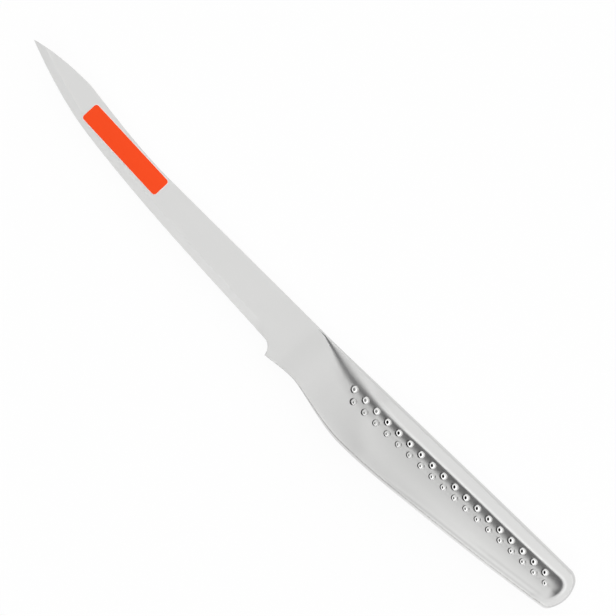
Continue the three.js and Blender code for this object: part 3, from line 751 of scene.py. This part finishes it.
# %% Find where it gets painted shade or painted light on the bevel, and mark it
# Painted shade in the scoop, most on its wall, and in two dark lines of the creases
SHADE_EDGE, SHADE_ALONG = (0.5, 4.0), (12.0, 36.0)
FLOOR_SHADE_KNOTS = [(30.0, 0.5, 0.0), (54.0, 0.72, 0.0), (88.0, 0.34, 0.0)]
FLOOR_SHARE, BELLY_SHARE, SHADE_AT_BELLY = (0.0, 0.18), (0.6, 1.0), 0.55
LEAST_FLOOR = 0.1
CREASE_SHADE, SECOND_SHADE, SECOND_SHIFT, SECOND_START = 0.6, 0.5, 1.65, (84.0, 96.0)
# Painted light on the bevel: full at the tip, less along the blade, gone before the heel
BEVEL_LIGHT_EDGE, BEVEL_LIGHT_END = (2.6, 2.9), (-12.0, -NOTCH_RADIUS)
TIP_BEVEL_LIGHT, FLAT_BEVEL_LIGHT = (-112.0, -80.0), 0.3


def painted_shade(x, below, above, inset):
    """Share of painted shade: full on the scoop's wall, less on its floor, and in the two creases."""
    foot = wall_foot(x)
    across = (below - foot) / np.maximum(below + above - foot, LEAST_FLOOR)
    on_floor = mix(1.0, knot_curve(FLOOR_SHADE_KNOTS, x), ramp(across, *FLOOR_SHARE))
    scoop_shade = on_floor * mix(1.0, SHADE_AT_BELLY, ramp(across, *BELLY_SHARE))
    in_scoop = ramp(inset, *SHADE_EDGE) * ramp(x, *SHADE_ALONG) * scoop_shade
    crease, strength = crease_at(x, above)
    second = SECOND_SHADE * soft_line(crease - SECOND_SHIFT, CREASE_WIDTH) * ramp(x, *SECOND_START)
    in_crease = (CREASE_SHADE * soft_line(crease, CREASE_WIDTH) + second) * strength
    return np.minimum(in_scoop + in_crease, 1.0)


def bevel_share(x, above):
    """Share of painted light on the bevel, most of all at the tip, until it runs out before the heel."""
    along_edge = mix(1.0, FLAT_BEVEL_LIGHT, ramp(x, *TIP_BEVEL_LIGHT)) * (1 - ramp(x, *BEVEL_LIGHT_END))
    return (1 - ramp(above, *BEVEL_LIGHT_EDGE)) * along_edge


def mark_steel(mesh, points):
    """Marks each point's share of painted light and shade, from its place in the drawing."""
    x, y = points[:, 0], points[:, 1]
    below, inset = spine_y(x) - y, scoop_inset(x, y)
    above = depth_at(x) - below
    shares = {
        "painted_highlight": painted_highlight(x, below, above, inset),
        "painted_shade": painted_shade(x, below, above, inset),
        "bevel_share": bevel_share(x, above),
    }
    for mark, share in shares.items():
        mesh.attributes.new(mark, "FLOAT", "POINT").data.foreach_set("value", share)


# Painted light on the bevel at the tip, the middle and the heel
bevel_light = bevel_share(np.array([TIP_X, -60.0, -8.0]), np.zeros(3))
print("Grinding of the edge at the tip, the middle and the heel:", bevel_light.round(2))

# %% [markdown]
# ## Blade
# Tip, flat, bevel, heel notch and swelling neck are one forging, so they are one mesh. Its stations crowd
# together at the tip, in the notch and through the neck, where the shape changes most. The bevel's faces
# take the ground steel and the rest the satin steel.

# %% Loft the blade
MOUTH_X, BOLSTER_WELD = 24.0, 0.8
SHOULDER_X = MOUTH_X - BOLSTER_WELD
BLADE_ROWS, NOTCH_ROWS, NECK_ROWS = 260, 24, 110
TIP_CROWDING = 1.3


def blade_stations():
    flat = TIP_X + (-NOTCH_RADIUS - TIP_X) * np.linspace(0, 1, BLADE_ROWS) ** TIP_CROWDING
    notch = NOTCH_RADIUS * (np.sin(np.linspace(0, math.pi / 2, NOTCH_ROWS)[1:-1]) - 1)
    return np.concatenate([flat, notch, np.linspace(0.0, SHOULDER_X, NECK_ROWS)])


def straight_rows(stations):
    """Rows that run straight across: the x of a station for every line."""
    return np.repeat(stations[:, None], LINE_COUNT, axis=1)


def both_faces(x, y, z):
    """Points and faces of a closed piece that is the same above and below the mid plane."""
    rows, lines = x.shape
    upper = np.column_stack([x.ravel(), y.ravel(), z.ravel()])
    lower = upper * (1, 1, -1)
    top = sheet_quads(rows, lines)
    bottom = top[:, ::-1] + rows * lines
    ring = border(rows, lines)
    after = np.roll(ring, -1)
    band = np.column_stack([ring, after, after + rows * lines, ring + rows * lines])
    return np.vstack([upper, lower]), np.vstack([top, bottom, band])


blade_x, blade_y = plan_points(straight_rows(blade_stations()))
points, faces = both_faces(blade_x, blade_y, face_height(blade_x, blade_y, OUTLINE))
middle = points[faces].mean(axis=1)
on_bevel = (middle[:, 0] < -NOTCH_RADIUS) & (middle[:, 1] - lower_y(middle[:, 0]) < BEVEL)
steels = [BLADE_STEEL, BEVEL_STEEL]
blade = make_piece("blade_fine", points, faces, steels, "blade_steel", ["blade"], on_bevel)
mark_steel(blade.data, points)

# %% [markdown]
# ## Handle halves
# Each half is pressed from sheet, so it is modelled as an open skin and given its wall with Solidify, which
# moves a copy of the skin inwards and closes the rim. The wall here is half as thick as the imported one, so
# that the copy doesn't fold over in the round edges: the inside never shows. The back half is the front half
# mirrored, with its faces turned.

# %% Press the two halves
HANDLE_ROWS, BUTT_CROWDING = 420, 1.5
WALL = 0.6

along = 1 - (1 - np.linspace(0, 1, HANDLE_ROWS)) ** BUTT_CROWDING
handle_x, handle_y = plan_points(mix(MOUTH_X, BUTT_X[None, :], along[:, None]))
handle_z = face_height(handle_x, handle_y, OUTLINE)
handle_z[-1, :] = HALF_SEAM


def pressed_half(name, node, side):
    """A half of the handle above (1) or below (-1) the mid plane."""
    skin = np.column_stack([handle_x.ravel(), handle_y.ravel(), side * handle_z.ravel()])
    quads = sheet_quads(*handle_x.shape)[:, ::side]
    piece = mesh_object(name, to_frame(skin), quads, [HANDLE_STEEL])
    mark_steel(piece.data, skin)
    wall = piece.modifiers.new("wall", "SOLIDIFY")
    wall.thickness = WALL * MM
    wall.offset = -1.0
    apply_modifiers(piece)
    place_piece(piece, [node])


pressed_half("front_shell_fine", "front_shell", 1)
pressed_half("back_shell_fine", "back_shell", -1)

# %% [markdown]
# ## Welds
# The halves are joined by a weld along the spine, round the butt and along the belly, and the neck by a ring
# of weld at the handle's mouth. Both are ground flush, so they continue the outer faces with the same
# formula and almost the same finish: from above they don't show, from the side they are a fine line.

# %% Run the weld between the halves
def seam_strip():
    """A flat strip that follows the outline from mouth to mouth."""
    rows, lines = handle_x.shape
    ring = border(rows, lines)[:2 * (rows - 1) + lines]
    chain = np.column_stack([handle_x.ravel()[ring], handle_y.ravel()[ring]])
    ahead = np.gradient(chain, axis=0)
    inward = np.column_stack([ahead[:, 1], -ahead[:, 0]]) / np.linalg.norm(ahead, axis=1)[:, None]
    inner = chain + inward * WALL
    count = len(chain)
    edges = [(chain, HALF_SEAM), (inner, HALF_SEAM), (inner, -HALF_SEAM), (chain, -HALF_SEAM)]
    strip = np.vstack([np.column_stack([edge, np.full(count, level)]) for edge, level in edges])
    a = np.arange(count - 1)
    sides = []
    for k in range(len(edges)):
        near, far = k * count, (k + 1) % len(edges) * count
        sides.append(np.column_stack([a + near, a + far, a + far + 1, a + near + 1]))
    start = [0, 3 * count, 2 * count, count]
    end = [count - 1, 2 * count - 1, 3 * count - 1, 4 * count - 1]
    return strip, np.vstack([*sides, start, end])


make_piece("seam_weld_fine", *seam_strip(), [WELD_STEEL], "weld_steel", ["seam_weld"])

# %% Run the weld round the neck
RING_ROWS = 5


def bolster_ring():
    """A ring whose outer face is the knife's own face."""
    ring_x, ring_y = plan_points(straight_rows(np.linspace(SHOULDER_X, MOUTH_X, RING_ROWS)))
    ring_z = face_height(ring_x, ring_y, OUTLINE)
    spine = spine_y(ring_x)
    inside_y = spine - WALL - (spine - ring_y) * (1 - 2 * WALL / depth_at(ring_x))
    inside_z = np.maximum(ring_z - WALL, HALF_SEAM / 2)
    sections = list(zip(ring_x, ring_y, ring_z)) + list(zip(ring_x, inside_y, inside_z))[::-1]
    loops = []
    for section in sections:
        upper = np.column_stack(section)
        loops.append(np.vstack([upper, (upper * (1, 1, -1))[::-1]]))
    return np.vstack(loops), tube_quads(len(loops), 2 * LINE_COUNT, closed=True)


points, faces = bolster_ring()
ring = make_piece("bolster_weld_fine", points, faces, [HANDLE_STEEL], "weld_steel", ["bolster_weld"])
mark_steel(ring.data, points)

# %% [markdown]
# ## Grip pips
# Two staggered rows of round pips are pressed out of each half. The upper ones stand on the scoop's wall as
# buttons with flat tops and are polished by the grip. The lower ones are shallow domes at the foot of the
# wall, less polished, and the first few of each row, by the neck, are satin. The pips are the one thing here
# that repeats, so Geometry Nodes place them: the input mesh is only points with a facing, the tree sets a pip
# on each of them, and the result is turned into a plain mesh.

# %% Turn one pip of each kind
PIP_SIDES, PIP_RINGS, PIP_ROOT = 32, 10, 0.3


def one_pip(name, lift, height, flatness, edge):
    """A pip of diameter 1 on z = 0. A large flatness widens its top, a small edge steepens its side."""
    reach = np.sin(np.linspace(math.pi / 2, 0.0, PIP_RINGS + 1)[:-1])
    dome = lift + height * (1 - reach ** flatness) ** edge
    radius = np.concatenate([[1.0], reach]) / 2
    level = np.concatenate([[-PIP_ROOT], dome])
    turn = np.linspace(0.0, 2 * math.pi, PIP_SIDES, endpoint=False)
    circle = np.column_stack([np.cos(turn), np.sin(turn)])
    rings = [np.column_stack([r * circle, np.full(PIP_SIDES, z)]) for r, z in zip(radius, level)]
    points = np.vstack([*rings, [(0.0, 0.0, lift + height)]])
    a = np.arange(PIP_SIDES)
    last = (len(rings) - 1) * PIP_SIDES
    peak = np.full(PIP_SIDES, len(points) - 1)
    cap = np.column_stack([last + a, last + (a + 1) % PIP_SIDES, peak])
    faces = [a[::-1].tolist(), *tube_quads(len(rings), PIP_SIDES).tolist(), *cap.tolist()]
    mesh = bpy.data.meshes.new(name)
    mesh.from_pydata(points.tolist(), [], faces)
    return bpy.data.objects.new(name, mesh)


BUTTON = one_pip("button", lift=0.1, height=0.24, flatness=3.2, edge=0.5)
DOME = one_pip("dome", lift=0.0, height=0.16, flatness=2.5, edge=0.8)
print("One pip has", len(BUTTON.data.polygons), "faces")

# %% Build the pip tree
TREE_INPUTS = {
    "Points": "Geometry", "Pip": "Object", "Diameter": "Float",
    "Finish": "Material", "Neck Finish": "Material",
}


def pip_tree():
    """A tree that sets a pip on each point and gives those by the neck a finish of their own."""
    tree = bpy.data.node_groups.new("pip_rows", "GeometryNodeTree")
    for name, kind in TREE_INPUTS.items():
        tree.interface.new_socket(name, in_out="INPUT", socket_type="NodeSocket" + kind)
    tree.interface.new_socket("Pips", in_out="OUTPUT", socket_type="NodeSocketGeometry")
    given = add_node(tree, "NodeGroupInput").outputs
    shape = add_node(tree, "GeometryNodeObjectInfo", {"Object": given["Pip"]})
    facing = add_node(tree, "GeometryNodeInputNamedAttribute", {"Name": "facing"}, data_type="FLOAT_VECTOR")
    turn = add_node(tree, "FunctionNodeAlignRotationToVector", {"Vector": facing.outputs[0]}, axis="Z")
    rows = add_node(tree, "GeometryNodeInstanceOnPoints", {
        "Points": given["Points"], "Instance": shape.outputs["Geometry"],
        "Rotation": turn.outputs[0], "Scale": given["Diameter"],
    })
    real = add_node(tree, "GeometryNodeRealizeInstances", {"Geometry": rows.outputs[0]})
    grip = add_node(tree, "GeometryNodeSetMaterial", {
        "Geometry": real.outputs[0], "Material": given["Finish"],
    })
    by_neck = add_node(tree, "GeometryNodeInputNamedAttribute", {"Name": "by_neck"}, data_type="BOOLEAN")
    done = add_node(tree, "GeometryNodeSetMaterial", {
        "Geometry": grip.outputs[0], "Selection": by_neck.outputs[0], "Material": given["Neck Finish"],
    })
    add_node(tree, "NodeGroupOutput", {"Pips": done.outputs[0]})
    return tree


PIP_TREE = pip_tree()
SOCKETS = {item.name: item.identifier for item in PIP_TREE.interface.items_tree if item.in_out == "INPUT"}
print("Pip inputs:", SOCKETS)

# %% Set the pips on both halves
PIP_PITCH, PIP_START, PIP_MIDDLE, PIP_END = 4.82, 27.45, 66.0, 111.2
LOWER_SHIFT = 2.4
SLOPE_STEP = 0.25
# Below gives the row's distance below the spine, lean is 1 where pips stand square to the face, and satin
# counts the satin pips by the neck
ROWS = {
    "upper": {
        "inputs": {"Pip": BUTTON, "Diameter": 2.6 * MM, "Finish": PIP_STEEL, "Neck Finish": NECK_PIP_STEEL},
        "below": [(PIP_START, 6.2, 0.02), (PIP_MIDDLE, 6.65, 0.0), (PIP_END, 6.2, -0.02)],
        "start": PIP_START, "lean": 0.0, "satin": 3,
    },
    "lower": {
        "inputs": {"Pip": DOME, "Diameter": 2.4 * MM, "Finish": WORN_STEEL, "Neck Finish": NECK_WORN_STEEL},
        "below": [(PIP_START, 9.2, 0.0), (PIP_MIDDLE, 9.2, 0.0), (PIP_END, 8.6, -0.015)],
        "start": PIP_START + LOWER_SHIFT, "lean": 1.0, "satin": 6,
    },
}


def pip_places(row):
    """Places and facings of one row of pips on the front half."""
    x = np.arange(row["start"], PIP_END + PIP_PITCH / 4, PIP_PITCH)
    y = spine_y(x) - knot_curve(row["below"], x)
    step = SLOPE_STEP
    rise_x = face_height(x + step, y, OUTLINE) - face_height(x - step, y, OUTLINE)
    rise_y = face_height(x, y + step, OUTLINE) - face_height(x, y - step, OUTLINE)
    facing = np.column_stack([-row["lean"] * rise_x, -row["lean"] * rise_y, np.full(len(x), 2 * step)])
    return np.column_stack([x, y, face_height(x, y, OUTLINE)]), facing


def pip_piece(name, row, side):
    """A row of pips on the half above (1) or below (-1) the mid plane."""
    place, facing = pip_places(row)
    piece = mesh_object(name, to_frame(place * (1, 1, side)), [])
    turned = piece.data.attributes.new("facing", "FLOAT_VECTOR", "POINT")
    turned.data.foreach_set("vector", (facing * (1, 1, side)).ravel())
    by_neck = piece.data.attributes.new("by_neck", "BOOLEAN", "POINT")
    by_neck.data.foreach_set("value", np.arange(len(place)) < row["satin"])
    pips = piece.modifiers.new("pip_rows", "NODES")
    pips.node_group = PIP_TREE
    for socket, value in row["inputs"].items():
        pips[SOCKETS[socket]] = value
    apply_modifiers(piece)
    place_piece(piece)


for half, side in (("front", 1), ("back", -1)):
    for name, row in ROWS.items():
        pip_piece(half + "_" + name + "_pips", row, side)
for pip in (BUTTON, DOME):
    bpy.data.objects.remove(pip)

# %% [markdown]
# ## Label
# A strip of plain printed vinyl is stuck on the blade, a little askew. A flat rectangle would look painted,
# so it is a thin plate with round corners: a pale edge shows all round where the film stops short of its
# backing, and the top is an even orange-red with the slight mottle and soft gloss of printed film.

# %% Mix the print and the film
MOTTLE, WAVE, WAVE_HEIGHT = 0.9, 3.0, 0.01
FILM_GLOSS = 0.12


def vinyl(name, colours, roughness):
    """Printed film: an even colour with a fine mottle under a soft gloss."""
    material, tree, output = new_material(name)
    place = add_node(tree, "ShaderNodeTexCoord").outputs["Object"]
    mottle = add_node(tree, "ShaderNodeTexNoise", {
        "Vector": place, "Scale": 1 / (MOTTLE * MM), "Detail": 4.0,
    })
    ink = blend(tree, mottle.outputs[0], linear(colours[0]), linear(colours[1]))
    wave = add_node(tree, "ShaderNodeTexNoise", {"Vector": place, "Scale": 1 / (WAVE * MM), "Detail": 1.0})
    relief = add_node(tree, "ShaderNodeBump", {
        "Strength": 1.0, "Distance": WAVE_HEIGHT * MM, "Height": wave.outputs[0],
    })
    film = add_node(tree, "ShaderNodeBsdfPrincipled", {
        "Base Color": ink, "Roughness": roughness,
        "Specular IOR Level": FILM_GLOSS, "Normal": relief.outputs[0],
    })
    tree.links.new(film.outputs[0], output.inputs["Surface"])
    return material


# Ink on film gives a strong, even colour that shines softly
INK = vinyl("orange_printed_vinyl", ("#ff4a18", "#ff501c"), 0.42)

# The cut edge of the backing gives a pale, matte rim round the print
FILM_EDGE = vinyl("pale_vinyl_edge", ("#fbeee6", "#fff7f2"), 0.5)
print("Label finishes:", INK.name, FILM_EDGE.name)

# %% Cut the label
LABEL_LENGTH, LABEL_WIDTH, LABEL_CORNER, CORNER_POINTS = 33.4, 6.5, 1.0, 13
LABEL_X, LABEL_Y, LABEL_TURN = TIP_X + 44.24, -3.5, math.radians(-2.27)
LABEL_TOP, LABEL_EDGE = 0.1, 0.08
# Insets in millimetres and shares of the film's thickness, from the underside over the edge to the print
LABEL_LEVELS = [(0.0, 0.0), (0.0, 0.8), (0.06, 1.0), (LABEL_EDGE, 1.0), (LABEL_EDGE + 0.05, 1.06)]


def rounded_plate(inset):
    """Corner points of the label, moved in by the inset, counter-clockwise."""
    radius = LABEL_CORNER - inset / 2
    half_length, half_width = LABEL_LENGTH / 2 - inset - radius, LABEL_WIDTH / 2 - inset - radius
    chain = []
    for quarter, (side_x, side_y) in enumerate(((1, 1), (-1, 1), (-1, -1), (1, -1))):
        for angle in np.linspace(quarter, quarter + 1, CORNER_POINTS) * math.pi / 2:
            x = side_x * half_length + radius * math.cos(angle)
            y = side_y * half_width + radius * math.sin(angle)
            chain.append((x, y))
    return np.array(chain)


def label_plate():
    """Points and faces of the film, and the finish of each face: 0 the pale edge, 1 the print."""
    cosine, sine = math.cos(LABEL_TURN), math.sin(LABEL_TURN)
    turn = np.array([[cosine, sine], [-sine, cosine]])
    rings = []
    for inset, share in LABEL_LEVELS:
        ring_xy = rounded_plate(inset) @ turn + (LABEL_X, LABEL_Y)
        rings.append(np.column_stack([ring_xy, np.full(len(ring_xy), HALF_SHEET + LABEL_TOP * share)]))
    around = len(rings[0])
    last = (len(rings) - 1) * around
    top, underside = list(range(last, last + around)), list(range(around))[::-1]
    faces = [*tube_quads(len(rings), around).tolist(), top, underside]
    finish = [0] * (last - around) + [1] * around + [1, 0]
    return np.vstack(rings), faces, finish


points, faces, finish = label_plate()
make_piece("label_fine", points, faces, [FILM_EDGE, INK], "label", ["label_film"], finish)

# %% [markdown]
# ## Sand
# The filling inside the handle never shows, but it is part of the knife and gets its own finish: dry quartz
# sand, pale grains in several browns, made with a cell pattern at the size of the grains.

# %% Finish the sand
GRAIN, GRAIN_HEIGHT = 0.6, 0.2


def quartz_sand():
    """Dry sand gives a matte surface of separate grains, each in a brown of its own."""
    material, tree, output = new_material("dry_quartz_sand")
    place = add_node(tree, "ShaderNodeTexCoord").outputs["Object"]
    grains = add_node(tree, "ShaderNodeTexVoronoi", {"Vector": place, "Scale": 1 / (GRAIN * MM)})
    tone = blend(tree, grains.outputs["Color"], linear("#a98a5c"), linear("#dcc9a0"))
    relief = add_node(tree, "ShaderNodeBump", {
        "Strength": 0.8, "Distance": GRAIN_HEIGHT * MM, "Height": grains.outputs["Distance"],
    })
    surface = add_node(tree, "ShaderNodeBsdfPrincipled", {
        "Base Color": tone, "Roughness": 0.9, "Normal": relief.outputs[0],
    })
    tree.links.new(surface.outputs[0], output.inputs["Surface"])
    return material


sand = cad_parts["balance_sand"]
sand.material_slots[0].material = quartz_sand()
print("Sand finish:", sand.material_slots[0].material.name)
